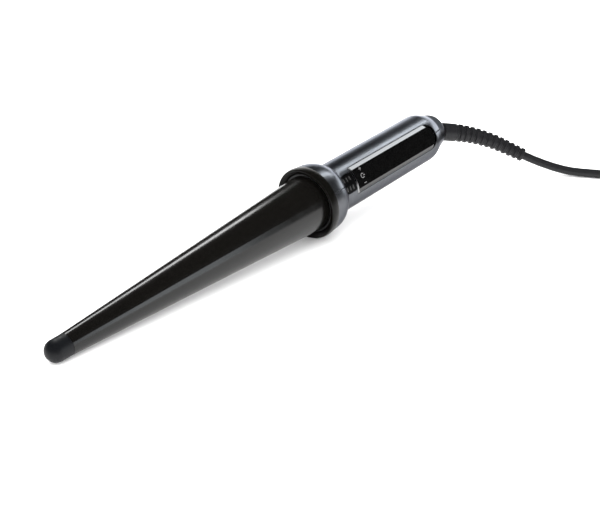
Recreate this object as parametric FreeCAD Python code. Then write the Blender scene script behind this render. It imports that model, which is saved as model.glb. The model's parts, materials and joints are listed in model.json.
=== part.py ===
import FreeCAD, Part
import math
import os

# Conical hair curling wand lying on a table, resting on its collar and its tip.
# Millimetres.  Wand frame: x runs along the axis from tip to cord with 0 at the collar's rear face,
# z leaves the axis through the middle of the inlaid panel, y completes the right hand.
# Row frame: z up from the table, x along the wand towards the cord.
# Profiles of turned pieces are lists of (x, radius).

V = FreeCAD.Vector

# ---- handle -------------------------------------------------------------------------------------
HANDLE_R = 15.5
SHELL_WALL = 2.4
ROLL_DEG = 61.0
SEAM_GAP = 0.2
SEAM_GROOVE_WIDTH = 0.6
SEAM_GROOVE_DEPTH = 0.35
BELL_POINTS = ((0, 21.6), (6.2, 21.05), (10.2, 19.8), (13.4, 17.5), (15.4, 15.95), (18.5, HANDLE_R))
BELL_CAVITY_R = 18.8
BELL_CAVITY_END_X = 16.5
SHOULDER_POINTS = ((103.5, HANDLE_R), (107.0, 14.95), (109.8, 13.9), (112.2, 12.9))
TAIL_POINTS = ((112.2, 12.9), (115.0, 11.85), (117.6, 11.1), (119.6, 10.3), (121.0, 8.9))
TAIL_SLOPE = -0.42
TAIL_END_SLOPE = -5.0
REAR_WALL_X = 104.2
# Blocks that only pick one side of a shape reach past it by these.
BEYOND = 130.0
AROUND = 30.0

SCREW_X = (36.0, 62.0, 88.0)
SCREW_Z = -8.0
SCREW_SEAT_Y = -7.5
SCREW_TIP_Y = 7.0
SCREW_SHANK_R = 1.1
SCREW_HEAD_R = 2.2
SCREW_HEAD_HEIGHT = 2.1
SCREW_CROSS_LENGTH = 3.0
SCREW_CROSS_WIDTH = 0.7
SCREW_CROSS_DEPTH = 0.8
BOSS_R = 3.0
BOSS_HALF_LENGTH = 14.0

# ---- heated barrel and tip ----------------------------------------------------------------------
BARREL_R0 = 17.25
BARREL_TAPER = 0.0594
BARREL_WALL = 1.6
BARREL_TIP_X = -186.0
BARREL_BASE_X = 2.0
TIP_R = 6.1
TIP_DOME_X = -192.9
TIP_SPIGOT_R = 4.4
TIP_SPIGOT_LENGTH = 10.0
HEATER_X0 = -128.0
HEATER_X1 = -22.0
HEATER_HALF_WIDTH = 4.5
HEATER_HALF_HEIGHT = 1.1
SPREADER_OVERHANG = 22.0
SENSOR_X = -15.0
SENSOR_Y = 5.0
SENSOR_LENGTH = 4.0
SENSOR_R = 1.2
SENSOR_LEAD_R = 0.4
FUSE_LENGTH = 11.0
FUSE_R = 2.0
FUSE_LEAD_R = 0.5
SENSOR_LEAD_END_X = 4.0

MOUNT_PLUG_X = -12.0
MOUNT_HOLE_R = 9.0
MOUNT_FLANGE_R = 18.4
MOUNT_FLANGE_X = 6.0
SLIP_FIT = 0.05

# ---- collar -------------------------------------------------------------------------------------
COLLAR_BULGE_X = -2.6
COLLAR_BULGE_RC = 14.05
COLLAR_BULGE_RADIUS = 8.0
COLLAR_ROUND_X = -4.6
COLLAR_LIP_X = -5.4
COLLAR_LIP_R = 20.9
COLLAR_SEAT_X = -2.8
COLLAR_INNER_R = 18.1
COLLAR_SEAT_R = 18.7

# ---- inlaid panel, trim and rocker --------------------------------------------------------------
PANEL_X0 = 26.0
PANEL_X1 = 104.6
PANEL_HALF_WIDTH = 8.0
PANEL_CORNER_R = 6.8
PANEL_BED_DEPTH = 1.6
# The panel's top is flat, and long bevels run down from it to the handle's round surface.
PANEL_TOP_Z = 14.7
PANEL_RIM_Z = 13.2
PANEL_BEVEL = 2.0
PANEL_REAR_BEVEL = 1.2
PANEL_GAP = 0.25
PANEL_BED_GAP = 0.06
TRIM_X0 = 24.8
TRIM_PROUD = 0.15

WINDOW_X0 = 14.4
WINDOW_X1 = 24.4
WINDOW_HALF_WIDTH = 5.8
WINDOW_FRONT_CORNER_R = 2.2
WINDOW_REAR_CORNER_R = 1.0
ROCKER_CLEARANCE = 0.35
ROCKER_R = HANDLE_R + 0.2
ROCKER_UNDERSIDE_R = 13.9
ROCKER_PIN_X0 = 13.3
ROCKER_PIN_X1 = 25.7
ROCKER_PIN_Z = 11.4
ROCKER_PIN_R = 0.7
ROCKER_STEM_HALF = 3.2
ROCKER_STEM_HALF_WIDTH = 1.7
RIB_X = (15.9, 18.5, 21.1)
RIB_HALF_WIDTH = 0.55
RIB_Y0 = 1.0
RIB_Y1 = 4.4
RIB_HEIGHT = 0.35

# ---- control board and what is on it ------------------------------------------------------------
PCB_X0 = 12.0
PCB_X1 = 92.0
PCB_HALF_WIDTH = 9.5
PCB_Z = 5.6
PCB_THICKNESS = 1.6
PCB_TOP = PCB_Z + PCB_THICKNESS
BRACKET_TOP_Z = 12.6
BRACKET_HALF_WIDTH = 2.0
BRACKET_SHEET = 0.8
BRACKET_EAR = 1.2
TACT_X = (WINDOW_X0 + WINDOW_X1) / 2
TACT_Y = 4.3
TACT_HALF_SIZE = 2.0
TACT_BODY_TOP_Z = 9.5
TACT_BUTTON_R = 0.9
TACT_BUTTON_TOP_Z = 10.1
PUSHER_LOW_Z = 10.7
LED_X = 31.0
LED_HALF_SIZE = 1.2
LED_TOP_Z = 8.6
LIGHT_PIPE_R = 1.5
LIGHT_HOLE_R = 1.9
TRIAC_BOX = (54.0, 64.0, -5.0, 5.0, 1.2, PCB_Z)
CAPACITOR_BOX = (68.0, 86.0, -5.5, 5.5, -3.6, PCB_Z)
BRUSH_BOX = (90.0, 99.0, -4.0, 4.0, 6.6, 11.0)
BRUSH_NOTCH_BOX = (89.0, PCB_X1 + 0.2, -10.0, 10.0, 6.0, PCB_TOP)
LEAD_R = 0.9
LEAD_Y = 2.0
LEAD_Z = 2.6
LEAD_X0 = -14.0
LEAD_X1 = 30.0
TERMINAL_BOX = (28.0, 34.0, -3.4, 3.4, 1.4, PCB_Z)

# ---- cord swivel --------------------------------------------------------------------------------
BALL_X = 118.5
BALL_R = 7.6
BALL_FLAT = 6.0
TRUNNION_R = 1.0
TRUNNION_START = 5.8
TRUNNION_LENGTH = 2.6
RUNNING_GAP = 0.08
CAGE_R = 9.0
CAGE_BORE_R = 7.4
CAGE_REAR_X = 110.4
CAGE_ARM_END_X = 119.7
CAGE_ARM_INNER_R = 7.9
CAGE_ARM_HALF_WIDTH = 3.0
CAGE_FLANGE_R = 10.6
CAGE_FLANGE_X0 = 102.6
CAGE_SHAFT_R = 5.0
CAGE_SHAFT_X0 = 93.0
CAGE_WIRE_HOLE_R = 3.0
TAIL_BORE_R = 9.2
TAIL_LIP_R = 8.2
TAIL_LIP_X = 119.9
SLIP_RING_X = (94.0, 97.0)
SLIP_RING_WIDTH = 1.6
SLIP_RING_R = 6.0

# ---- strain relief ------------------------------------------------------------------------------
RELIEF_DIR = V(0.846, -0.500, -0.185)
RELIEF_MIDDLE = (V(134.7, -9.9, 28.4), V(149.4, -25.2, 22.8))
NECK_R = 4.6
NECK_LENGTH = 1.2
CUFF_FULL_AT = 2.0
CUFF_LENGTH = 12.0
CUFF_R = 5.8
RELIEF_END_R = 4.3
RIB_COUNT = 12
RIB_DEPTH = 0.75
# Along one rib's pitch: the groove ends, the crown starts, the crown ends.
RIB_SHAPE = (0.35, 0.45, 0.90)

# ---- cord, coil and plug ------------------------------------------------------------------------
CORD_D = 5.4
FLOOR_Z = CORD_D / 2
BEND_SHARE = 0.45
RUN_POINTS = [
    V(162.6, -42.6, 13.2),
    V(175.5, -61.0, 3.5),
    V(190.9, -85.6, FLOOR_Z),
    V(204.9, -110.7, FLOOR_Z),
]
COIL_ENTRY = 14.0
COIL_FIRST_TURN_R = 37.2
COIL_LAST_TURN_R = 38.2
COIL_MID_R = 32.2
COIL_HALF_WIDTH = 8.7
COIL_HEIGHT = 21.3
COIL_EDGE_R = 3.0
TIE_THICKNESS = 0.8
TIE_WIDTH = 12.0
TIE_ANGLE = 95.0
# The lead leaves the coil at this angle round the coil's centre, and the plug points half a turn on.
LEAVE_ANGLE = -90.0
TAIL_RUN = 14.0
TAIL_TURN_DEG = 30.0
# The tail leaves the coil's top layer and climbs to the plug that lies on the coil.
TAIL_RISE = (0.0, 2.2, 5.9, 8.45, 8.45)

PLUG_LENGTH = 32.0
PLUG_WIDTH = 35.3
PLUG_HEIGHT = 13.7
PLUG_ROUNDING = 0.42
PLUG_EDGE = 1.2
# Distance in front of the rear face, width and height of each section.
PLUG_SECTIONS = (
    (0, 9.5, 9.0),
    (9, 11.5, 10.0),
    (17, PLUG_WIDTH - 4, PLUG_HEIGHT - 0.8),
    (22, PLUG_WIDTH, PLUG_HEIGHT),
    (PLUG_LENGTH - PLUG_EDGE, PLUG_WIDTH, PLUG_HEIGHT),
    (PLUG_LENGTH, PLUG_WIDTH - 2 * PLUG_EDGE, PLUG_HEIGHT - 2 * PLUG_EDGE),
)
PIN_R = 2.0
PIN_LENGTH = 19.0
PIN_SPACING = 18.6
PIN_END_CHAMFER = 0.5

# ---- the lie of the wand ------------------------------------------------------------------------
# The collar's rounded rim and the spherical tip touch the table together.
RIM_LEVER = COLLAR_BULGE_X - TIP_DOME_X
SPAN = math.hypot(RIM_LEVER, COLLAR_BULGE_RC)
TILT = math.atan2(COLLAR_BULGE_RC, RIM_LEVER) + math.asin((COLLAR_BULGE_RADIUS - TIP_R) / SPAN)
AXIS_HEIGHT = TIP_R - TIP_DOME_X * math.sin(TILT)

LIE = FreeCAD.Placement(V(0, 0, AXIS_HEIGHT), FreeCAD.Rotation(V(0, 1, 0), -math.degrees(TILT)))
ROLL = FreeCAD.Placement(V(0, 0, 0), FreeCAD.Rotation(V(1, 0, 0), ROLL_DEG))
TO_ROW = LIE.multiply(ROLL)

# ---- helpers ------------------------------------------------------------------------------------


def barrel_r(x):
    return BARREL_R0 + BARREL_TAPER * x


def lines(points):
    """Edges from point to point of an (x, radius) profile."""
    corners = [V(x, 0, r) for x, r in points]
    return [Part.LineSegment(a, b).toShape() for a, b in zip(corners, corners[1:])]


def revolve(edges):
    """Solid of revolution about the wand axis from closed edges drawn in the x-z plane."""
    return Part.Face(Part.Wire(edges)).revolve(V(0, 0, 0), V(1, 0, 0), 360.0)


def turned(points):
    return revolve(lines(list(points) + [points[0]]))


def along_x(x0, x1, radius, y=0.0, z=0.0):
    return Part.makeCylinder(radius, x1 - x0, V(x0, y, z), V(1, 0, 0))


def along_y(y0, y1, radius, x, z):
    return Part.makeCylinder(radius, y1 - y0, V(x, y0, z), V(0, 1, 0))


def along_z(z0, z1, radius, x, y=0.0):
    return Part.makeCylinder(radius, z1 - z0, V(x, y, z0), V(0, 0, 1))


def block(x0, x1, y0, y1, z0, z1):
    return Part.makeBox(x1 - x0, y1 - y0, z1 - z0, V(x0, y0, z0))


def sleeve(x0, x1, inner, outer):
    return along_x(x0, x1, outer).cut(along_x(x0 - 1, x1 + 1, inner))


def spline(points, start, end):
    curve = Part.BSplineCurve()
    curve.interpolate(Points=points, InitialTangent=start, FinalTangent=end)
    return curve


def profile_spline(points, shrink, start, end):
    """Smooth edge through an (x, radius) profile, pulled towards the axis by shrink."""
    return spline([V(x, 0, r - shrink) for x, r in points], start, end).toShape()


def upright_edges(shape, x):
    """Edges parallel to z at a given x."""
    straight = [e for e in shape.Edges if len(e.Vertexes) == 2]
    upright = [e for e in straight if abs(e.Vertexes[0].Z - e.Vertexes[1].Z) > 1]
    return [e for e in upright if abs(e.Vertexes[0].X - x) < 0.01]


def plan_prism(x0, x1, half_width, z0, z1, front_corner, rear_corner):
    """Upright prism over a rectangle in the x-y plane, with rounded corners at each end."""
    prism = block(x0, x1, -half_width, half_width, z0, z1)
    if front_corner:
        prism = prism.makeFillet(front_corner, upright_edges(prism, x0))
    return prism.makeFillet(rear_corner, upright_edges(prism, x1))


nodes = {}


def add(name, shape):
    """Keep a shape that was drawn in the wand frame."""
    moved = shape.copy()
    moved.Placement = TO_ROW.multiply(moved.Placement)
    nodes[name] = moved


def add_row(name, shape):
    """Keep a shape that was drawn in the row frame."""
    nodes[name] = shape


# ---- heated barrel and tip ----------------------------------------------------------------------


def barrel_point(x, depth):
    return (x, barrel_r(x) - depth)


def barrel_slug(x0, x1, depth):
    """Solid cone that lies a given depth inside the barrel's outer surface."""
    return turned([(x0, 0), (x1, 0), barrel_point(x1, depth), barrel_point(x0, depth)])


bore = barrel_slug(BARREL_TIP_X - 1, BARREL_BASE_X + 1, BARREL_WALL)
add("barrel", barrel_slug(BARREL_TIP_X, BARREL_BASE_X, 0.0).cut(bore))

tip_end = TIP_DOME_X - TIP_R
dome_middle = V(TIP_DOME_X - TIP_R * math.sqrt(0.5), 0, TIP_R * math.sqrt(0.5))
dome = Part.Arc(V(tip_end, 0, 0), dome_middle, V(TIP_DOME_X, 0, TIP_R)).toShape()
spigot_x = BARREL_TIP_X + TIP_SPIGOT_LENGTH
tip_corners = [
    (TIP_DOME_X, TIP_R),
    (BARREL_TIP_X, TIP_R),
    (BARREL_TIP_X, TIP_SPIGOT_R),
    (spigot_x, TIP_SPIGOT_R),
    (spigot_x, 0),
    (tip_end, 0),
]
add("cool_tip", revolve([dome] + lines(tip_corners)))

half_w = HEATER_HALF_WIDTH
half_h = HEATER_HALF_HEIGHT
add("heater_plate", block(HEATER_X0, HEATER_X1, -half_w, half_w, -half_h, half_h))
spreader = barrel_slug(HEATER_X0 - SPREADER_OVERHANG, HEATER_X1 + 6, BARREL_WALL + 0.3)
add("heat_spreader_upper", spreader.common(block(BARREL_TIP_X, 0, -AROUND, AROUND, half_h, AROUND)))
add("heat_spreader_lower", spreader.common(block(BARREL_TIP_X, 0, -AROUND, AROUND, -AROUND, -half_h)))
sensor_end = SENSOR_X + SENSOR_LENGTH
bead = along_x(SENSOR_X, sensor_end, SENSOR_R, y=SENSOR_Y)
add("thermistor", bead.fuse(along_x(sensor_end, SENSOR_LEAD_END_X, SENSOR_LEAD_R, y=SENSOR_Y)))
fuse_end = SENSOR_X + FUSE_LENGTH
fuse_body = along_x(SENSOR_X, fuse_end, FUSE_R, y=-SENSOR_Y)
add("thermal_fuse", fuse_body.fuse(along_x(fuse_end, SENSOR_LEAD_END_X, FUSE_LEAD_R, y=-SENSOR_Y)))

mount_profile = [
    (MOUNT_PLUG_X, MOUNT_HOLE_R),
    barrel_point(MOUNT_PLUG_X, BARREL_WALL + SLIP_FIT),
    barrel_point(BARREL_BASE_X, BARREL_WALL + SLIP_FIT),
    (BARREL_BASE_X, MOUNT_FLANGE_R),
    (MOUNT_FLANGE_X, MOUNT_FLANGE_R),
    (MOUNT_FLANGE_X, MOUNT_HOLE_R),
]
add("barrel_mount", turned(mount_profile))

# ---- collar -------------------------------------------------------------------------------------


def bulge_r(x):
    return COLLAR_BULGE_RC + math.sqrt(COLLAR_BULGE_RADIUS**2 - (x - COLLAR_BULGE_X) ** 2)


rear_rim = V(0, 0, bulge_r(0))
crest = V(COLLAR_BULGE_X, 0, bulge_r(COLLAR_BULGE_X))
front_rim = V(COLLAR_ROUND_X, 0, bulge_r(COLLAR_ROUND_X))
lip_round = V(COLLAR_LIP_X + 0.2, 0, COLLAR_LIP_R + 0.55)
lip_end = V(COLLAR_LIP_X, 0, COLLAR_LIP_R)
collar_edges = [
    Part.Arc(rear_rim, crest, front_rim).toShape(),
    Part.Arc(front_rim, lip_round, lip_end).toShape(),
]
collar_corners = [
    (COLLAR_LIP_X, COLLAR_LIP_R),
    (-4.1, COLLAR_INNER_R + 0.8),
    (-3.3, COLLAR_INNER_R),
    (COLLAR_SEAT_X, COLLAR_INNER_R),
    (COLLAR_SEAT_X, COLLAR_SEAT_R),
    (0, COLLAR_SEAT_R),
    (0, rear_rim.z),
]
add("heat_shield_ring", revolve(collar_edges + lines(collar_corners)))
gasket_x0 = COLLAR_SEAT_X + 0.1
gasket_x1 = BARREL_BASE_X - 0.1
gasket_profile = [
    barrel_point(gasket_x0, -SLIP_FIT),
    (gasket_x0, COLLAR_SEAT_R - 0.1),
    (gasket_x1, COLLAR_SEAT_R - 0.3),
    barrel_point(gasket_x1, -SLIP_FIT),
]
add("seat_gasket", turned(gasket_profile))

# ---- handle shells ------------------------------------------------------------------------------
INNER_R = HANDLE_R - SHELL_WALL


def shell_outline(inner_points, shrink=0.0):
    """Closed profile: the handle's outer line, then the given inner corners back to the bell's mouth."""
    bell = profile_spline(BELL_POINTS, shrink, V(1, 0, -0.03), V(1, 0, 0))
    shoulder = profile_spline(SHOULDER_POINTS, shrink, V(1, 0, 0), V(1, 0, TAIL_SLOPE))
    outer_r = HANDLE_R - shrink
    straight = lines([(BELL_POINTS[-1][0], outer_r), (SHOULDER_POINTS[0][0], outer_r)])
    rear = (SHOULDER_POINTS[-1][0], SHOULDER_POINTS[-1][1] - shrink)
    front = (BELL_POINTS[0][0], BELL_POINTS[0][1] - shrink)
    return [bell] + straight + [shoulder] + lines([rear] + inner_points + [front])


tail_x = SHOULDER_POINTS[-1][0]
cage_bore_r = CAGE_R + RUNNING_GAP
to_axis = [(tail_x, 0), (0, 0)]
shell_inside = [
    (tail_x, cage_bore_r),
    (REAR_WALL_X, cage_bore_r),
    (REAR_WALL_X, INNER_R),
    (BELL_CAVITY_END_X, INNER_R),
    (MOUNT_FLANGE_X + 0.1, MOUNT_FLANGE_R + 0.1),
    (0, BELL_CAVITY_R),
]
shell = revolve(shell_outline(shell_inside))
shell_envelope = revolve(shell_outline(to_axis))
for x in SCREW_X:
    boss = along_y(-BOSS_HALF_LENGTH, BOSS_HALF_LENGTH, BOSS_R, x, SCREW_Z)
    shell = shell.fuse(boss.common(shell_envelope))

panel_floor_r = HANDLE_R - PANEL_BED_DEPTH
low_z = PCB_TOP + 2
high_z = AROUND
recess = plan_prism(
    TRIM_X0 - 0.1,
    PANEL_X1 + PANEL_GAP,
    PANEL_HALF_WIDTH + PANEL_GAP,
    low_z,
    high_z,
    0,
    PANEL_CORNER_R + PANEL_GAP,
)
recess = recess.cut(along_x(0, BEYOND, panel_floor_r - PANEL_BED_GAP))
window = plan_prism(
    WINDOW_X0,
    WINDOW_X1,
    WINDOW_HALF_WIDTH,
    low_z,
    high_z,
    WINDOW_FRONT_CORNER_R,
    WINDOW_REAR_CORNER_R,
)
shell = shell.cut(recess).cut(window).cut(along_z(low_z, high_z, LIGHT_HOLE_R, LED_X))
for x in SCREW_X:
    shell = shell.cut(along_y(-AROUND, SCREW_TIP_Y + 1, SCREW_SHANK_R + 0.1, x, SCREW_Z))
    shell = shell.cut(along_y(-AROUND, SCREW_SEAT_Y, SCREW_HEAD_R + 0.3, x, SCREW_Z))
half_groove = SEAM_GROOVE_WIDTH / 2
groove = block(-1, BEYOND, -half_groove, half_groove, -AROUND, AROUND)
groove = groove.cut(revolve(shell_outline(to_axis, SEAM_GROOVE_DEPTH)))
shell = shell.cut(groove)
half_gap = SEAM_GAP / 2
add("shell_left", shell.common(block(-1, BEYOND, half_gap, AROUND, -AROUND, AROUND)))
add("shell_right", shell.common(block(-1, BEYOND, -AROUND, -half_gap, -AROUND, AROUND)))

head_y = SCREW_SEAT_Y - SCREW_HEAD_HEIGHT
cross_y = head_y + SCREW_CROSS_DEPTH
long_half = SCREW_CROSS_LENGTH / 2
short_half = SCREW_CROSS_WIDTH / 2
for number, x in enumerate(SCREW_X, 1):
    screw = along_y(SCREW_SEAT_Y, SCREW_TIP_Y, SCREW_SHANK_R, x, SCREW_Z)
    screw = screw.fuse(along_y(head_y, SCREW_SEAT_Y, SCREW_HEAD_R, x, SCREW_Z))
    for half_x, half_z in ((short_half, long_half), (long_half, short_half)):
        slot = block(x - half_x, x + half_x, head_y - 1, cross_y, SCREW_Z - half_z, SCREW_Z + half_z)
        screw = screw.cut(slot)
    add(f"shell_screw_{number}", screw)

tail = profile_spline(TAIL_POINTS, 0.0, V(1, 0, TAIL_SLOPE), V(1, 0, TAIL_END_SLOPE))
tail_corners = [
    TAIL_POINTS[-1],
    (TAIL_POINTS[-1][0], TAIL_LIP_R),
    (TAIL_LIP_X, TAIL_LIP_R),
    (TAIL_LIP_X, TAIL_BORE_R),
    (tail_x, TAIL_BORE_R),
    TAIL_POINTS[0],
]
add("tail_ring", revolve([tail] + lines(tail_corners)))

# ---- inlaid panel and its trim ------------------------------------------------------------------
def panel_step(z0, z1, bevel, rear_bevel):
    """Upright prism over the panel's plan, drawn in by the bevels."""
    return plan_prism(
        PANEL_X0,
        PANEL_X1 - rear_bevel,
        PANEL_HALF_WIDTH - bevel,
        z0,
        z1,
        0,
        PANEL_CORNER_R - bevel,
    )


def top_outline(prism):
    return max(prism.Faces, key=lambda face: face.CenterOfMass.z).OuterWire


panel = panel_step(low_z, PANEL_RIM_Z, 0, 0)
panel_top = panel_step(low_z, PANEL_TOP_Z, PANEL_BEVEL, PANEL_REAR_BEVEL)
panel = panel.fuse(Part.makeLoft([top_outline(panel), top_outline(panel_top)], True, True))
add("top_panel", panel.cut(along_x(0, BEYOND, panel_floor_r)).removeSplitter())
trim = block(TRIM_X0, PANEL_X0 - 0.1, -PANEL_HALF_WIDTH, PANEL_HALF_WIDTH, low_z, high_z)
add("panel_trim", trim.common(sleeve(0, BEYOND, panel_floor_r, HANDLE_R + TRIM_PROUD)))

# ---- rocker and what is under it ----------------------------------------------------------------
rocker_half = WINDOW_HALF_WIDTH - ROCKER_CLEARANCE
cap = plan_prism(
    WINDOW_X0 + ROCKER_CLEARANCE,
    WINDOW_X1 - ROCKER_CLEARANCE,
    rocker_half,
    low_z,
    high_z,
    WINDOW_FRONT_CORNER_R - ROCKER_CLEARANCE,
    WINDOW_REAR_CORNER_R - ROCKER_CLEARANCE,
)
cap = cap.common(sleeve(0, BEYOND, ROCKER_UNDERSIDE_R, ROCKER_R))
stem = block(
    TACT_X - ROCKER_STEM_HALF,
    TACT_X + ROCKER_STEM_HALF,
    -ROCKER_STEM_HALF_WIDTH,
    ROCKER_STEM_HALF_WIDTH,
    ROCKER_PIN_Z - 1.2,
    ROCKER_UNDERSIDE_R + 0.3,
)
cap = cap.fuse(stem)
rib_shell = sleeve(0, BEYOND, ROCKER_R - 0.2, ROCKER_R + RIB_HEIGHT)
for side in (-1, 1):
    cap = cap.fuse(along_z(PUSHER_LOW_Z, ROCKER_UNDERSIDE_R + 0.1, TACT_BUTTON_R, TACT_X, side * TACT_Y))
    low, high = sorted((side * RIB_Y0, side * RIB_Y1))
    for x in RIB_X:
        rib = block(x - RIB_HALF_WIDTH, x + RIB_HALF_WIDTH, low, high, low_z, high_z)
        cap = cap.fuse(rib.common(rib_shell))
pin_hole = along_x(ROCKER_PIN_X0 - 1, ROCKER_PIN_X1 + 1, ROCKER_PIN_R + SLIP_FIT, z=ROCKER_PIN_Z)
add("rocker_cap", cap.cut(pin_hole).removeSplitter())
pin = along_x(ROCKER_PIN_X0, ROCKER_PIN_X1, ROCKER_PIN_R, z=ROCKER_PIN_Z)
add("rocker_pin", pin)

add("control_pcb", block(PCB_X0, PCB_X1, -PCB_HALF_WIDTH, PCB_HALF_WIDTH, PCB_Z, PCB_TOP))
bracket = block(
    ROCKER_PIN_X0, ROCKER_PIN_X1, -BRACKET_HALF_WIDTH, BRACKET_HALF_WIDTH, PCB_TOP, BRACKET_TOP_Z
)
bracket = bracket.cut(
    block(ROCKER_PIN_X0 + BRACKET_EAR, ROCKER_PIN_X1 - BRACKET_EAR, -3, 3, PCB_TOP + BRACKET_SHEET, high_z)
)
add("switch_bracket", bracket.cut(pin))
for name, side in (("tact_switch_plus", 1), ("tact_switch_minus", -1)):
    y = side * TACT_Y
    body = block(
        TACT_X - TACT_HALF_SIZE,
        TACT_X + TACT_HALF_SIZE,
        y - TACT_HALF_SIZE,
        y + TACT_HALF_SIZE,
        PCB_TOP,
        TACT_BODY_TOP_Z,
    )
    add(name, body.fuse(along_z(TACT_BODY_TOP_Z, TACT_BUTTON_TOP_Z, TACT_BUTTON_R, TACT_X, y)))
half_led = LED_HALF_SIZE
add("indicator_led", block(LED_X - half_led, LED_X + half_led, -half_led, half_led, PCB_TOP, LED_TOP_Z))
add("light_pipe", along_z(LED_TOP_Z, panel_floor_r - 0.1, LIGHT_PIPE_R, LED_X))
add("triac", block(*TRIAC_BOX))
add("film_capacitor", block(*CAPACITOR_BOX))
leads = block(*TERMINAL_BOX)
for side in (-1, 1):
    leads = leads.fuse(along_x(LEAD_X0, LEAD_X1, LEAD_R, y=side * LEAD_Y, z=LEAD_Z))
add("heater_leads", leads)
add("brush_block", block(*BRUSH_BOX).cut(block(*BRUSH_NOTCH_BOX)))

# ---- cord swivel --------------------------------------------------------------------------------
ball = TO_ROW.multVec(V(BALL_X, 0, 0))
axis = TO_ROW.Rotation.multVec(V(1, 0, 0))
relief_dir = V(RELIEF_DIR)
relief_dir.normalize()
tilt_axis = axis.cross(relief_dir)
tilt_axis.normalize()
local_tilt = TO_ROW.Rotation.inverted().multVec(tilt_axis)
arm_turn = math.degrees(math.atan2(-local_tilt.y, local_tilt.z))

cage = sleeve(CAGE_SHAFT_X0, CAGE_FLANGE_X0 + 0.2, CAGE_WIRE_HOLE_R, CAGE_SHAFT_R)
cage = cage.fuse(sleeve(CAGE_FLANGE_X0, REAR_WALL_X - 0.1, CAGE_SHAFT_R - 1, CAGE_FLANGE_R))
cage = cage.fuse(sleeve(REAR_WALL_X - 0.2, CAGE_REAR_X - 0.8, CAGE_BORE_R, CAGE_R))
cage = cage.fuse(sleeve(CAGE_REAR_X - 0.9, CAGE_REAR_X, CAGE_BORE_R - 0.4, CAGE_R))
arms = sleeve(CAGE_REAR_X - 0.2, CAGE_ARM_END_X, CAGE_ARM_INNER_R, CAGE_R)
arms = arms.common(block(0, BEYOND, -CAGE_ARM_HALF_WIDTH, CAGE_ARM_HALF_WIDTH, -AROUND, AROUND))
cage = cage.fuse(arms)
for side in (-1, 1):
    peg_base = V(BALL_X, 0, side * TRUNNION_START)
    cage = cage.fuse(Part.makeCylinder(TRUNNION_R, TRUNNION_LENGTH, peg_base, V(0, 0, side)))
cage.rotate(V(0, 0, 0), V(1, 0, 0), arm_turn)
add("swivel_cage", cage)
for name, x in zip(("slip_ring_front", "slip_ring_rear"), SLIP_RING_X):
    add(name, sleeve(x, x + SLIP_RING_WIDTH, CAGE_SHAFT_R, SLIP_RING_R))

globe = Part.makeSphere(BALL_R, ball)
flat_at = ball + relief_dir * BALL_FLAT
globe = globe.cut(Part.makeCylinder(2 * BALL_R, BALL_R, flat_at, relief_dir))
for hole_r, hole_dir in ((CORD_D / 2, relief_dir), (TRUNNION_R + RUNNING_GAP, tilt_axis)):
    globe = globe.cut(Part.makeCylinder(hole_r, 4 * BALL_R, ball - hole_dir * 2 * BALL_R, hole_dir))
add_row("swivel_ball", globe)

# ---- strain relief ------------------------------------------------------------------------------
relief_points = [flat_at, *RELIEF_MIDDLE, RUN_POINTS[0]]
relief_path = spline(relief_points, relief_dir, RUN_POINTS[1] - RUN_POINTS[0])
relief_length = relief_path.length()


def relief_section(distance, radius):
    at = relief_path.parameterAtDistance(distance)
    ring = Part.Circle(relief_path.value(at), V(*relief_path.tangent(at)[0]), radius)
    return Part.Wire(ring.toShape())


pitch = (relief_length - CUFF_LENGTH) / RIB_COUNT
groove_end, crown_start, crown_end = RIB_SHAPE
sections = [
    relief_section(0.0, NECK_R),
    relief_section(NECK_LENGTH, NECK_R),
    relief_section(CUFF_FULL_AT, CUFF_R),
    relief_section(CUFF_LENGTH - 0.8, CUFF_R),
]
for number in range(RIB_COUNT):
    start = CUFF_LENGTH + number * pitch
    radius = CUFF_R + (RELIEF_END_R - CUFF_R) * (number + 0.5) / RIB_COUNT
    sections.append(relief_section(start, radius - RIB_DEPTH))
    sections.append(relief_section(start + groove_end * pitch, radius - RIB_DEPTH))
    sections.append(relief_section(start + crown_start * pitch, radius))
    sections.append(relief_section(start + crown_end * pitch, radius))
sections.append(relief_section(relief_length, RELIEF_END_R - 0.2))
add_row("strain_relief", Part.makeLoft(sections, True, True))

# ---- cord ---------------------------------------------------------------------------------------


def rounded_route(points, label):
    """Straight runs joined by tangent arcs through the given corner points."""
    edges = []
    here = points[0]
    for before, corner, after in zip(points, points[1:], points[2:]):
        incoming = corner.sub(before)
        outgoing = after.sub(corner)
        half_turn = incoming.getAngle(outgoing) / 2
        cut_back = BEND_SHARE * min(incoming.Length, outgoing.Length)
        radius = cut_back / math.tan(half_turn)
        print(label, "bend radius", round(radius, 1), "turn", round(math.degrees(2 * half_turn), 1))
        incoming.normalize()
        outgoing.normalize()
        first = corner - incoming * cut_back
        last = corner + outgoing * cut_back
        inward = outgoing.sub(incoming)
        inward.normalize()
        middle = corner + inward * (radius / math.cos(half_turn) - radius)
        edges.append(Part.LineSegment(here, first).toShape())
        edges.append(Part.Arc(first, middle, last).toShape())
        here = last
    edges.append(Part.LineSegment(here, points[-1]).toShape())
    return Part.Wire(edges)


def cord_tube(points, label):
    route = rounded_route(points, label)
    heading = points[1].sub(points[0])
    outline = Part.Wire(Part.Circle(points[0], heading, CORD_D / 2).toShape())
    tube = route.makePipeShell([outline], True, False)
    ratio = tube.Volume / (math.pi * (CORD_D / 2) ** 2 * route.Length)
    print(label, "length", round(route.Length, 1), "volume over section times length", round(ratio, 4))
    return tube


add_row("cord_run", cord_tube(RUN_POINTS, "cord_run"))

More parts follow.
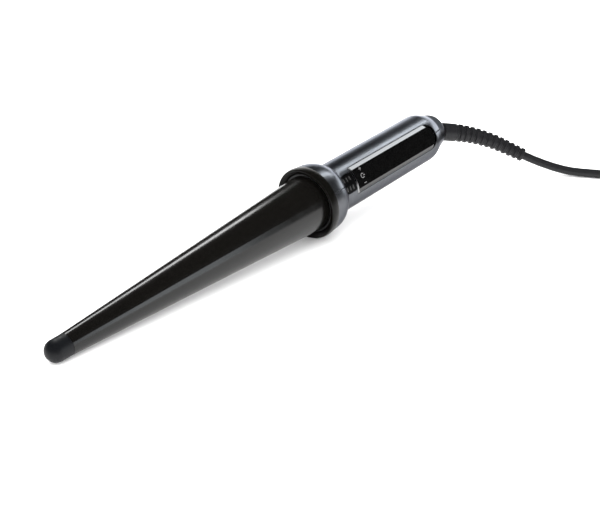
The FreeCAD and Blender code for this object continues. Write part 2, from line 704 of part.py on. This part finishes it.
# The coil turns anticlockwise from its outermost turn, so its centre lies left of the cord's last run.
run_dir = RUN_POINTS[-1].sub(RUN_POINTS[-2])
run_dir.normalize()
to_left = V(-run_dir.y, run_dir.x, 0)
coil_centre = RUN_POINTS[-1] + run_dir * COIL_ENTRY + to_left * COIL_FIRST_TURN_R
coil_centre.z = 0
coil_top = TIE_THICKNESS + COIL_HEIGHT
coil_base = coil_centre + V(0, 0, TIE_THICKNESS)
coil = Part.makeCylinder(COIL_MID_R + COIL_HALF_WIDTH, COIL_HEIGHT, coil_base)
coil = coil.cut(Part.makeCylinder(COIL_MID_R - COIL_HALF_WIDTH, COIL_HEIGHT, coil_base))
coil = coil.makeFillet(COIL_EDGE_R, [e for e in coil.Edges if e.Closed])
add_row("cord_coil", coil)

tie_box = Part.makeBox(
    2 * (COIL_HALF_WIDTH + TIE_THICKNESS),
    TIE_WIDTH,
    COIL_HEIGHT + 2 * TIE_THICKNESS,
    V(COIL_MID_R - COIL_HALF_WIDTH - TIE_THICKNESS, -TIE_WIDTH / 2, 0),
)
crossways = [e for e in tie_box.Edges if abs(e.Vertexes[0].Y - e.Vertexes[1].Y) > 1]
tie_box = tie_box.makeFillet(COIL_EDGE_R, crossways)
tie_box.rotate(V(0, 0, 0), V(0, 0, 1), TIE_ANGLE)
tie_box.translate(coil_centre)
add_row("cord_tie", tie_box.cut(coil))

# ---- the cord's tail and the plug lying on the coil ---------------------------------------------
plug_z = coil_top + PLUG_HEIGHT / 2
leave = math.radians(LEAVE_ANGLE)
tail_at = coil_centre + V(math.cos(leave), math.sin(leave), 0) * COIL_LAST_TURN_R
tail_at.z = plug_z - TAIL_RISE[-1]
tail_points = [tail_at]
for number in range(len(TAIL_RISE) - 1):
    heading = leave + math.radians(90 + number * TAIL_TURN_DEG)
    tail_at = tail_at + V(math.cos(heading), math.sin(heading), 0) * TAIL_RUN
    tail_at.z = plug_z - TAIL_RISE[-1] + TAIL_RISE[number + 1]
    tail_points.append(tail_at)
add_row("cord_tail", cord_tube(tail_points, "cord_tail"))
plug_rear = tail_points[-1]


def add_on_plug(name, shape):
    """Keep a shape drawn with the plug's rear face at the origin and its pins pointing to +X."""
    shape.rotate(V(0, 0, 0), V(0, 0, 1), LEAVE_ANGLE + 180)
    shape.translate(plug_rear)
    add_row(name, shape)


def plug_section(along, width, height):
    """Rounded rectangle across the plug, a given distance in front of its rear face."""
    slab = Part.makeBox(1, width, height, V(along, -width / 2, -height / 2))
    lengthways = [e for e in slab.Edges if abs(e.Vertexes[0].X - e.Vertexes[1].X) > 0.5]
    slab = slab.makeFillet(PLUG_ROUNDING * height, lengthways)
    return [f for f in slab.Faces if abs(f.CenterOfMass.x - along) < 0.01][0].OuterWire


add_on_plug("plug_body", Part.makeLoft([plug_section(*s) for s in PLUG_SECTIONS], True, True))
for name, side in (("plug_pin_left", 1), ("plug_pin_right", -1)):
    pin_base = V(PLUG_LENGTH, side * PIN_SPACING / 2, 0)
    plug_pin = Part.makeCylinder(PIN_R, PIN_LENGTH, pin_base, V(1, 0, 0))
    far_rim = [e for e in plug_pin.Edges if e.Closed and e.CenterOfMass.x > PLUG_LENGTH + PIN_LENGTH / 2]
    add_on_plug(name, plug_pin.makeChamfer(PIN_END_CHAMFER, far_rim))

# ---- the wand's length without its cord is centred on the row's origin --------------------------
length_box = Part.makeCompound([nodes["cool_tip"], nodes["swivel_ball"]]).optimalBoundingBox()
SHIFT = V(-(length_box.XMin + length_box.XMax) / 2, 0, 0)

os.makedirs("parts", exist_ok=True)
for name, shape in nodes.items():
    shape.translate(SHIFT)
    shape.exportStep(f"parts/{name}.step")
    print(name, "valid", shape.isValid(), "solids", len(shape.Solids), "volume", round(shape.Volume, 1))
print("shift", SHIFT, "tilt", math.degrees(TILT), "axis height", AXIS_HEIGHT)
print("ball", ball + SHIFT, "axis", axis, "tilt axis", tilt_axis, "relief length", relief_length)
print("coil centre", coil_centre + SHIFT, "coil top", coil_top, "plug rear", plug_rear + SHIFT)
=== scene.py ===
import json
import math

import bpy
from mathutils import Matrix, Vector


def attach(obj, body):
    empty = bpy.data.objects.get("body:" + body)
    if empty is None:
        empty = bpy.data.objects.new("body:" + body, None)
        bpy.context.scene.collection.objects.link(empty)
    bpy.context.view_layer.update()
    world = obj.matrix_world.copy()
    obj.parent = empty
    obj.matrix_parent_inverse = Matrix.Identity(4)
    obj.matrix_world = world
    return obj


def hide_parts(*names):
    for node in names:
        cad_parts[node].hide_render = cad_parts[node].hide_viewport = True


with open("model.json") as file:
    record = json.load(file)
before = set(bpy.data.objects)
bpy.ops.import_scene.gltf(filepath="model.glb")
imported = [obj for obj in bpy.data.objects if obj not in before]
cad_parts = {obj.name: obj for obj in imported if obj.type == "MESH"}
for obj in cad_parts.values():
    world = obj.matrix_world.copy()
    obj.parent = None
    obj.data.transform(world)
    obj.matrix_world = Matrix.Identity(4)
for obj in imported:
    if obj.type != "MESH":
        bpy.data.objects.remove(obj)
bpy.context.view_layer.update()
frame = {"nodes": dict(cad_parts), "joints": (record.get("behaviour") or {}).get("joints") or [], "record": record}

MM = 0.001

# ---- camera -------------------------------------------------------------------------------------
CAMERA_AT = Vector((-491.8, -455.4, 333.6)) * MM
CAMERA_LOOK = Vector((0.67126, 0.58979, -0.44895))
CAMERA_LENS = 78.0
CAMERA_CLIP = (0.01, 30.0)

scene = bpy.context.scene
scene.view_settings.view_transform = "Standard"
camera_data = bpy.data.cameras.new("camera")
camera_data.lens = CAMERA_LENS
camera_data.clip_start, camera_data.clip_end = CAMERA_CLIP
camera = bpy.data.objects.new("camera", camera_data)
scene.collection.objects.link(camera)
camera.location = CAMERA_AT
camera.rotation_euler = CAMERA_LOOK.to_track_quat("-Z", "Y").to_euler()
scene.camera = camera

# ---- the wand's own frame, in millimetres -------------------------------------------------------
# x runs along the axis from tip to cord, z leaves it through the middle of the inlaid panel.
ROLL = math.radians(61.0)
BALL_X = 118.5

swivel = next(j for j in frame["joints"] if j["name"] == "cord_swivel")
along = Vector(swivel["axis"]).normalized()
upright = (Vector((0, 0, 1)) - along * along.z).normalized()
sideways = upright.cross(along)
panel_up = upright * math.cos(ROLL) - sideways * math.sin(ROLL)
panel_side = upright * math.sin(ROLL) + sideways * math.cos(ROLL)
origin = Vector(swivel["pos_m"]) - along * BALL_X * MM
WAND = Matrix((along, panel_side, panel_up)).transposed().to_4x4()
WAND.translation = origin
WAND = WAND @ Matrix.Scale(MM, 4)
SHIFT = Vector((origin.x, origin.y, 0.0)) / MM

# ---- lead: one line from the strain relief through the coil to the plug --------------------------
CORD_D = 5.4
FLOOR_Z = CORD_D / 2
RUN = [
    Vector((162.6, -42.6, 13.2)),
    Vector((175.5, -61.0, 3.5)),
    Vector((190.9, -85.6, FLOOR_Z)),
    Vector((204.9, -110.7, FLOOR_Z)),
]
COIL_ENTRY = 14.0
# Radii of the turns, layer by layer: in, out, in, out.
TURN_RADII = (37.2, 31.7, 26.2, 27.2, 32.7, 38.2, 37.2, 31.7, 26.2, 27.2, 32.7, 38.2)
TURNS_PER_LAYER = 3
LAYER_Z = (3.5, 8.8, 14.1, 19.4)
STEPS_PER_TURN = 16
JOG_SHARE = 0.18
LEAVE_ANGLE = math.radians(-90)
TAIL_RUN = 14.0
TAIL_TURN = math.radians(30)
TAIL_Z = (20.5, 22.7, 26.4, 28.95, 28.95)
LEAD_STEPS_ALONG = 6
LEAD_STEPS_ROUND = 6


def smooth_step(t):
    t = min(max(t, 0.0), 1.0)
    return t * t * (3 - 2 * t)


def coil_place(turns):
    """Radius and height of the lead after a number of turns.

    The lead steps over to the next turn near each turn's end.
    """
    turn = min(int(turns), len(TURN_RADII) - 1)
    following = min(turn + 1, len(TURN_RADII) - 1)
    step = smooth_step((turns - turn - 1 + JOG_SHARE) / JOG_SHARE)
    radius = TURN_RADII[turn] + (TURN_RADII[following] - TURN_RADII[turn]) * step
    low = LAYER_Z[turn // TURNS_PER_LAYER]
    high = LAYER_Z[following // TURNS_PER_LAYER]
    return radius, low + (high - low) * step


run_dir = (RUN[-1] - RUN[-2]).normalized()
to_left = Vector((-run_dir.y, run_dir.x, 0))
coil_centre = RUN[-1] + run_dir * COIL_ENTRY + to_left * TURN_RADII[0]
coil_centre.z = 0
entry_angle = math.atan2(-to_left.y, -to_left.x) % (2 * math.pi)
coil_turns = len(TURN_RADII) + (LEAVE_ANGLE - entry_angle) / (2 * math.pi)
coil_steps = round(coil_turns * STEPS_PER_TURN)
# The spline's points stand outside the circle that it draws.
stand_out = 8 / (6 + 2 * math.cos(2 * math.pi / STEPS_PER_TURN))

lead_points = list(RUN)
for step in range(coil_steps):
    turns = coil_turns * step / coil_steps
    radius, height = coil_place(turns)
    angle = entry_angle + 2 * math.pi * turns
    spoke = Vector((math.cos(angle), math.sin(angle), 0))
    lead_points.append(coil_centre + spoke * radius * stand_out + Vector((0, 0, height)))
tail_at = coil_centre + Vector((math.cos(LEAVE_ANGLE), math.sin(LEAVE_ANGLE), 0)) * TURN_RADII[-1]
tail_at.z = TAIL_Z[0]
lead_points.append(tail_at.copy())
for number in range(1, len(TAIL_Z)):
    heading = LEAVE_ANGLE + math.radians(90) + (number - 1) * TAIL_TURN
    tail_at = tail_at + Vector((math.cos(heading), math.sin(heading), 0)) * TAIL_RUN
    tail_at.z = TAIL_Z[number]
    lead_points.append(tail_at.copy())

lead_curve = bpy.data.curves.new("lead", "CURVE")
lead_curve.dimensions = "3D"
lead_spline = lead_curve.splines.new("NURBS")
lead_spline.points.add(len(lead_points) - 1)
for point, place in zip(lead_spline.points, lead_points):
    point.co = (*((place + SHIFT) * MM), 1.0)
lead_spline.order_u = 3
lead_spline.use_endpoint_u = True
lead_spline.resolution_u = LEAD_STEPS_ALONG
lead_curve.bevel_depth = CORD_D / 2 * MM
lead_curve.bevel_resolution = LEAD_STEPS_ROUND
lead = bpy.data.objects.new("lead", lead_curve)
scene.collection.objects.link(lead)

# ---- materials ----------------------------------------------------------------------------------

EDGE_SAMPLES = 6
# A noise stays within these values almost everywhere.
NOISE_RANGE = (0.3, 0.7)
# The colours change over the middle of a noise.
RAMP_RANGE = (0.35, 0.65)
# How much coarser the roughness patches and how much finer the relief are than the colour patches.
ROUGH_GRAIN = 0.37
RELIEF_GRAIN = 3.1


class Nodes:
    """A material's node tree, with short ways to add the nodes used here."""

    def __init__(self, name):
        self.material = bpy.data.materials.new(name)
        self.material.use_nodes = True
        self.tree = self.material.node_tree
        self.shader = self.tree.nodes["Principled BSDF"]
        self.position = self.tree.nodes.new("ShaderNodeTexCoord").outputs["Object"]

    def link(self, source, target):
        self.tree.links.new(source, target)

    def noise(self, scale, detail, stretch):
        mapping = self.tree.nodes.new("ShaderNodeMapping")
        mapping.inputs["Scale"].default_value = stretch
        self.link(self.position, mapping.inputs["Vector"])
        noise = self.tree.nodes.new("ShaderNodeTexNoise")
        noise.inputs["Scale"].default_value = scale
        noise.inputs["Detail"].default_value = detail
        self.link(mapping.outputs["Vector"], noise.inputs["Vector"])
        return noise.outputs["Fac"]

    def ramp(self, value, low, high):
        """Turn a noise into a colour between low and high."""
        ramp = self.tree.nodes.new("ShaderNodeValToRGB")
        for stop, position, colour in zip(ramp.color_ramp.elements, RAMP_RANGE, (low, high)):
            stop.position = position
            stop.color = (*colour, 1)
        self.link(value, ramp.inputs["Fac"])
        return ramp.outputs["Color"]

    def spread(self, value, low, high):
        """Turn a noise into a number between low and high."""
        spread = self.tree.nodes.new("ShaderNodeMapRange")
        spread.inputs["From Min"].default_value, spread.inputs["From Max"].default_value = NOISE_RANGE
        spread.inputs["To Min"].default_value = low
        spread.inputs["To Max"].default_value = high
        self.link(value, spread.inputs["Value"])
        return spread.outputs["Result"]

    def bump(self, value, height, edge):
        """Relief from a noise, over edges rounded by a given radius."""
        bump = self.tree.nodes.new("ShaderNodeBump")
        bump.inputs["Strength"].default_value = 1.0
        bump.inputs["Distance"].default_value = height
        self.link(value, bump.inputs["Height"])
        if edge:
            rounding = self.tree.nodes.new("ShaderNodeBevel")
            rounding.samples = EDGE_SAMPLES
            rounding.inputs["Radius"].default_value = edge
            self.link(rounding.outputs["Normal"], bump.inputs["Normal"])
        self.link(bump.outputs["Normal"], self.shader.inputs["Normal"])


def finish(name, low, high, rough, grain, relief, edge=0.0, metallic=0.0, stretch=(1, 1, 1), **sockets):
    """Moulded, lacquered or metal surface: patchy colour and roughness, and a fine relief."""
    nodes = Nodes(name)
    colour = nodes.ramp(nodes.noise(grain, 4.0, stretch), low, high)
    roughness = nodes.spread(nodes.noise(grain * ROUGH_GRAIN, 2.0, stretch), *rough)
    nodes.link(colour, nodes.shader.inputs["Base Color"])
    nodes.link(roughness, nodes.shader.inputs["Roughness"])
    nodes.bump(nodes.noise(grain * RELIEF_GRAIN, 3.0, stretch), relief, edge)
    nodes.shader.inputs["Metallic"].default_value = metallic
    for socket, value in sockets.items():
        nodes.shader.inputs[socket.replace("_", " ")].default_value = value
    return nodes.material


def grey(value):
    return (value, value, value)


MATERIAL_LOOKS = {
    # Heated end
    "barrel_ceramic": dict(
        low=(0.0026, 0.0024, 0.0021),
        high=(0.0034, 0.0031, 0.0027),
        rough=(0.18, 0.22),
        grain=500,
        relief=5e-7,
        Specular_IOR_Level=0.29,
    ),
    "tip_plastic": dict(
        low=(0.0022, 0.0025, 0.0033),
        high=(0.0034, 0.0038, 0.0047),
        rough=(0.42, 0.50),
        grain=1500,
        relief=4e-6,
        edge=2e-4,
        Specular_IOR_Level=0.18,
    ),
    "collar_plastic": dict(
        low=(0.0018, 0.0016, 0.0013),
        high=(0.0025, 0.0023, 0.0019),
        rough=(0.28, 0.34),
        grain=600,
        relief=1e-6,
        edge=3e-4,
        Specular_IOR_Level=0.14,
    ),
    "gasket": dict(low=grey(0.008), high=grey(0.013), rough=(0.55, 0.65), grain=900, relief=1e-5),
    "ceramic_heater": dict(
        low=(0.74, 0.72, 0.68), high=(0.84, 0.82, 0.78), rough=(0.4, 0.55), grain=700, relief=1e-5
    ),
    "spreader_alloy": dict(
        low=grey(0.62),
        high=grey(0.74),
        rough=(0.3, 0.42),
        grain=500,
        relief=6e-6,
        metallic=1.0,
        stretch=(0.1, 1, 1),
    ),
    "sensor_glass": dict(
        low=(0.48, 0.25, 0.10), high=(0.60, 0.34, 0.15), rough=(0.2, 0.3), grain=1200, relief=5e-6
    ),
    "fuse_metal": dict(
        low=grey(0.66), high=grey(0.76), rough=(0.25, 0.35), grain=1200, relief=4e-6, metallic=1.0
    ),
    "mount_resin": dict(
        low=(0.26, 0.23, 0.18), high=(0.34, 0.30, 0.25), rough=(0.5, 0.62), grain=800, relief=2e-5
    ),
    # Handle
    "gunmetal_shell": dict(
        low=(0.104, 0.107, 0.114),
        high=(0.112, 0.116, 0.123),
        rough=(0.30, 0.34),
        grain=300,
        relief=4e-7,
        edge=3.5e-4,
        metallic=1.0,
        Specular_Tint=(0.50, 0.50, 0.52, 1),
    ),
    "panel_gloss": dict(
        low=grey(0.0018),
        high=grey(0.0026),
        rough=(0.05, 0.08),
        grain=300,
        relief=2e-7,
        edge=1.2e-4,
        Specular_IOR_Level=0.40,
    ),
    "mark_print": dict(low=grey(0.12), high=grey(0.15), rough=(0.4, 0.5), grain=1500, relief=1e-6),
    "trim_silver": dict(
        low=grey(0.26), high=grey(0.30), rough=(0.24, 0.30), grain=600, relief=5e-7, edge=2e-4, metallic=1.0
    ),
    "rocker_black": dict(
        low=grey(0.0012),
        high=grey(0.0018),
        rough=(0.38, 0.46),
        grain=900,
        relief=2e-6,
        edge=2.5e-4,
        Specular_IOR_Level=0.04,
    ),
    # The ribs' lighter grey base colour is a painted highlight: it stands in for the light that the rib tops
    # catch.
    "rib_painted_highlight": dict(
        low=grey(0.026), high=grey(0.034), rough=(0.30, 0.40), grain=1500, relief=2e-6, edge=1.5e-4
    ),
    "board_green": dict(
        low=(0.03, 0.19, 0.08), high=(0.05, 0.25, 0.11), rough=(0.3, 0.42), grain=900, relief=6e-6
    ),
    "parts_black": dict(
        low=grey(0.022), high=grey(0.036), rough=(0.45, 0.58), grain=1200, relief=1e-5, edge=1.5e-4
    ),
    "capacitor_yellow": dict(
        low=(0.70, 0.54, 0.08), high=(0.80, 0.64, 0.14), rough=(0.35, 0.48), grain=700, relief=8e-6
    ),
    "led_clear": dict(
        low=grey(0.80),
        high=grey(0.90),
        rough=(0.05, 0.1),
        grain=900,
        relief=1e-6,
        Transmission_Weight=0.85,
        IOR=1.49,
    ),
    "steel": dict(
        low=grey(0.52), high=grey(0.66), rough=(0.24, 0.36), grain=1600, relief=4e-6, edge=1e-4, metallic=1.0
    ),
    "lead_insulation": dict(
        low=(0.70, 0.69, 0.65), high=(0.80, 0.79, 0.75), rough=(0.5, 0.6), grain=800, relief=1e-5
    ),
    # Swivel and cord
    "brass": dict(
        low=(0.68, 0.50, 0.22),
        high=(0.78, 0.60, 0.30),
        rough=(0.18, 0.30),
        grain=1500,
        relief=3e-6,
        edge=1.5e-4,
        metallic=1.0,
    ),
    "swivel_plastic": dict(
        low=grey(0.012), high=grey(0.020), rough=(0.25, 0.34), grain=1300, relief=5e-6, edge=2e-4
    ),
    "cord_rubber": dict(
        low=(0.007, 0.007, 0.008),
        high=(0.011, 0.011, 0.012),
        rough=(0.40, 0.50),
        grain=900,
        relief=6e-6,
        edge=2.5e-4,
        Specular_IOR_Level=0.22,
    ),
    "tie_black": dict(
        low=grey(0.010), high=grey(0.022), rough=(0.7, 0.85), grain=2200, relief=6e-5, stretch=(1, 1, 0.2)
    ),
}
materials = {name: finish(name, **look) for name, look in MATERIAL_LOOKS.items()}
for part in frame["record"]["subparts"]:
    mesh = frame["nodes"][part["node"]].data
    mesh.materials.clear()
    mesh.materials.append(materials[part["material_slot"]])

lead_curve.materials.append(materials["cord_rubber"])
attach(lead, "cord_end")
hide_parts("cord_run", "cord_coil", "cord_tail")

# ---- marks on the panel and ribs on the rocker --------------------------------------------------
HANDLE_R = 15.5
PANEL_TOP_Z = 14.7
MARK_PROUD = 0.03
MARK_DEPTH = 0.12
MARK_X = 32.6
POWER_RING_R = 1.35
POWER_STROKE = 0.42
POWER_GAP = math.radians(38)
POWER_STEPS = 28
POWER_TICK_START = 0.5
POWER_TICK = 1.5
SIGN_Y = 4.5
SIGN_LENGTH = 2.2
SIGN_STROKE = 0.42
LINE_STEPS = 6


def skin_point(x, y, radius):
    """Point at a radius from the axis, over a place in the panel's plan."""
    angle = y / HANDLE_R
    return WAND @ Vector((x, radius * math.sin(angle), radius * math.cos(angle)))


def strip(vertices, faces, path, half_width):
    """Add a raised stroke along an open path in the panel's plan."""
    first = len(vertices)
    last_number = len(path) - 1
    for number, (x, y) in enumerate(path):
        before = path[max(number - 1, 0)]
        after = path[min(number + 1, last_number)]
        heading = Vector((after[0] - before[0], after[1] - before[1])).normalized()
        for side, rise in ((-1, -MARK_DEPTH), (-1, MARK_PROUD), (1, MARK_PROUD), (1, -MARK_DEPTH)):
            offset_x = -heading.y * side * half_width
            offset_y = heading.x * side * half_width
            vertices.append(WAND @ Vector((x + offset_x, y + offset_y, PANEL_TOP_Z + rise)))
    for number in range(last_number):
        here = first + number * 4
        there = here + 4
        for corner in range(3):
            faces.append((here + corner, here + corner + 1, there + corner + 1, there + corner))
    faces.append((first, first + 1, first + 2, first + 3))
    last = first + last_number * 4
    faces.append((last + 3, last + 2, last + 1, last))


def line(x0, y0, x1, y1):
    """Evenly spaced points of a straight stroke."""
    shares = [step / LINE_STEPS for step in range(LINE_STEPS + 1)]
    return [(x0 + (x1 - x0) * share, y0 + (y1 - y0) * share) for share in shares]


def add_mesh(name, vertices, faces, material, body, smooth=False):
    mesh = bpy.data.meshes.new(name)
    mesh.from_pydata([tuple(v) for v in vertices], [], faces)
    mesh.materials.append(materials[material])
    if smooth:
        mesh.shade_smooth()
    mesh.update()
    piece = bpy.data.objects.new(name, mesh)
    scene.collection.objects.link(piece)
    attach(piece, body)
    return piece


mark_vertices, mark_faces = [], []
ring = []
for number in range(POWER_STEPS + 1):
    angle = POWER_GAP + (2 * math.pi - 2 * POWER_GAP) * number / POWER_STEPS
    ring.append((MARK_X + POWER_RING_R * math.cos(angle), POWER_RING_R * math.sin(angle)))
tick_x = MARK_X + POWER_TICK_START
half_sign = SIGN_LENGTH / 2
for path, stroke in (
    (ring, POWER_STROKE),
    (line(tick_x, 0, tick_x + POWER_TICK, 0), POWER_STROKE),
    (line(MARK_X - half_sign, -SIGN_Y, MARK_X + half_sign, -SIGN_Y), SIGN_STROKE),
    (line(MARK_X - half_sign, SIGN_Y, MARK_X + half_sign, SIGN_Y), SIGN_STROKE),
    (line(MARK_X, SIGN_Y - half_sign, MARK_X, SIGN_Y + half_sign), SIGN_STROKE),
):
    strip(mark_vertices, mark_faces, path, stroke / 2)
add_mesh("panel_marks", mark_vertices, mark_faces, "mark_print", "wand")

RIB_X = (15.9, 18.5, 21.1)
RIB_HALF_WIDTH = 0.62
RIB_Y0 = 0.95
RIB_Y1 = 4.45
RIB_FOOT_R = 15.6
RIB_TOP_R = 16.12
RIB_STEPS = 10
RIB_SECTION = 7
# A rib's ends fall as a superellipse of this power and narrow to this share of its width.
RIB_END_POWER = 6
RIB_END_SHARE = 0.55
RIB_CROWN_POWER = 0.6

rib_vertices, rib_faces = [], []
for side in (-1, 1):
    for rib_x in RIB_X:
        first = len(rib_vertices)
        for step in range(RIB_STEPS + 1):
            share = step / RIB_STEPS
            fall = math.sqrt(max(0.0, 1 - (2 * share - 1) ** RIB_END_POWER))
            y = side * (RIB_Y0 + (RIB_Y1 - RIB_Y0) * share)
            for corner in range(RIB_SECTION):
                turn = math.pi * corner / (RIB_SECTION - 1)
                width = RIB_HALF_WIDTH * (RIB_END_SHARE + (1 - RIB_END_SHARE) * fall)
                x = rib_x - width * math.cos(turn)
                radius = RIB_FOOT_R + (RIB_TOP_R - RIB_FOOT_R) * math.sin(turn) ** RIB_CROWN_POWER * fall
                rib_vertices.append(skin_point(x, y, radius))
        for step in range(RIB_STEPS):
            for corner in range(RIB_SECTION - 1):
                a = first + step * RIB_SECTION + corner
                b = a + RIB_SECTION
                rib_faces.append((a, a + 1, b + 1, b) if side > 0 else (a, b, b + 1, a + 1))
# The ribs take the lighter grey that paints a highlight on their tops.
add_mesh("rocker_ribs", rib_vertices, rib_faces, "rib_painted_highlight", "rocker", smooth=True)

# ---- floor, lights and surroundings -------------------------------------------------------------
FLOOR_HALF = 8.0
floor_mesh = bpy.data.meshes.new("floor")
corners = [(x * FLOOR_HALF, y * FLOOR_HALF, 0) for x, y in ((-1, -1), (1, -1), (1, 1), (-1, 1))]
floor_mesh.from_pydata(corners, [], [(0, 1, 2, 3)])
floor = bpy.data.objects.new("floor", floor_mesh)
scene.collection.objects.link(floor)
floor_paint = finish("floor_paint", low=grey(0.90), high=grey(0.93), rough=(0.6, 0.7), grain=3, relief=1e-5)
floor_mesh.materials.append(floor_paint)

WORLD_LOW = 2.6
WORLD_HIGH = 2.5
WORLD_FADE = (0.15, 0.60)
world = bpy.data.worlds.new("world")
world.use_nodes = True
tree = world.node_tree
background = tree.nodes["Background"]
direction = tree.nodes.new("ShaderNodeTexCoord")
parts = tree.nodes.new("ShaderNodeSeparateXYZ")
fade = tree.nodes.new("ShaderNodeMapRange")
fade.interpolation_type = "SMOOTHSTEP"
fade.inputs["From Min"].default_value, fade.inputs["From Max"].default_value = WORLD_FADE
fade.inputs["To Min"].default_value = WORLD_LOW
fade.inputs["To Max"].default_value = WORLD_HIGH
tree.links.new(direction.outputs["Generated"], parts.inputs["Vector"])
tree.links.new(parts.outputs["Z"], fade.inputs["Value"])
tree.links.new(fade.outputs["Result"], background.inputs["Strength"])
background.inputs["Color"].default_value = (1, 1, 1, 1)
world.cycles_visibility.glossy = False
scene.world = world


def area_light(name, place, aim, size, radiance, colour=(1, 1, 1), glossy=True, diffuse=True):
    """Rectangular light of a given radiance that faces a point."""
    data = bpy.data.lights.new(name, "AREA")
    data.shape = "RECTANGLE"
    data.size, data.size_y = size
    data.energy = radiance * math.pi * size[0] * size[1]
    data.color = colour
    lamp = bpy.data.objects.new(name, data)
    scene.collection.objects.link(lamp)
    lamp.location = place
    lamp.rotation_euler = (aim - place).to_track_quat("-Z", "Y").to_matrix().to_euler()
    lamp.visible_camera = False
    lamp.visible_glossy = glossy
    lamp.visible_diffuse = diffuse
    return lamp


def receivers(name, *pieces):
    """Collection of the CAD pieces that a light reaches."""
    group = bpy.data.collections.new(name)
    for piece in pieces:
        group.objects.link(frame["nodes"][piece])
    return group


def mirror_light(name, x, radius, turn, lean, distance, size, radiance, group, colour):
    """Light that is seen reflected in the wand at x.

    The reflecting surface faces a turn about the axis from the panel's middle and leans towards the cord,
    both in degrees. The light's longer side follows the wand.
    """
    turn = math.radians(turn)
    lean = math.radians(lean)
    outward = Vector((0, math.sin(turn), math.cos(turn)))
    spot = WAND @ (Vector((x, 0, 0)) + outward * radius)
    normal = (WAND.to_3x3() @ (outward * math.cos(lean) + Vector((math.sin(lean), 0, 0)))).normalized()
    view = (spot - CAMERA_AT).normalized()
    bounce = view - normal * 2 * view.dot(normal)
    lamp = area_light(name, spot + bounce * distance, spot, size, radiance, colour=colour, diffuse=False)
    turned = lamp.rotation_euler.to_matrix()
    flat = turned.transposed() @ along
    lamp.rotation_euler = (turned @ Matrix.Rotation(math.atan2(flat.y, flat.x), 3, "Z")).to_euler()
    lamp.light_linking.receiver_collection = group


handle_group = receivers("handle_group", "shell_left", "shell_right", "top_panel", "panel_trim")
bell_group = receivers("bell_group", "shell_left", "shell_right")
tail_group = receivers("tail_group", "tail_ring")
ring_group = receivers("ring_group", "heat_shield_ring")
barrel_group = receivers("barrel_group", "barrel", "cool_tip")

WHITE = (1, 1, 1)
COOL = (0.93, 0.97, 1.0)
BLUISH = (0.90, 0.96, 1.0)
OVERHEAD_AT = Vector((0.0, 0.1, 2.2))
OVERHEAD_SIZE = (3.0, 3.0)
area_light("overhead", OVERHEAD_AT, Vector((0, 0, 0)), OVERHEAD_SIZE, 1.0, glossy=False)
# Name, x and radius in mm, turn, lean, distance and size in m, radiance, receivers, colour.
for light in (
    ("handle_softbox", 62, 15.5, 36.9, 0, 0.60, (0.42, 0.085), 13.0, handle_group, COOL),
    ("bell_softbox", 14, 18.0, 22, 28, 0.60, (0.90, 0.34), 6.5, bell_group, COOL),
    ("bell_fill", 8, 20.0, 70, 25, 0.60, (0.90, 0.80), 0.12, bell_group, COOL),
    ("tail_softbox", 102, 14.0, 25, 25, 0.60, (0.60, 0.50), 1.1, tail_group, COOL),
    ("lip_softbox", 1, 21.0, 66, 8, 0.50, (0.60, 0.34), 2.2, ring_group, WHITE),
    ("barrel_strip", -140, 10.0, 60, -3, 0.60, (0.28, 0.12), 13.0, barrel_group, WHITE),
    ("low_reflector", -135, 10.0, -6, -3, 0.70, (0.22, 0.30), 5.0, barrel_group, BLUISH),
):
    mirror_light(*light)
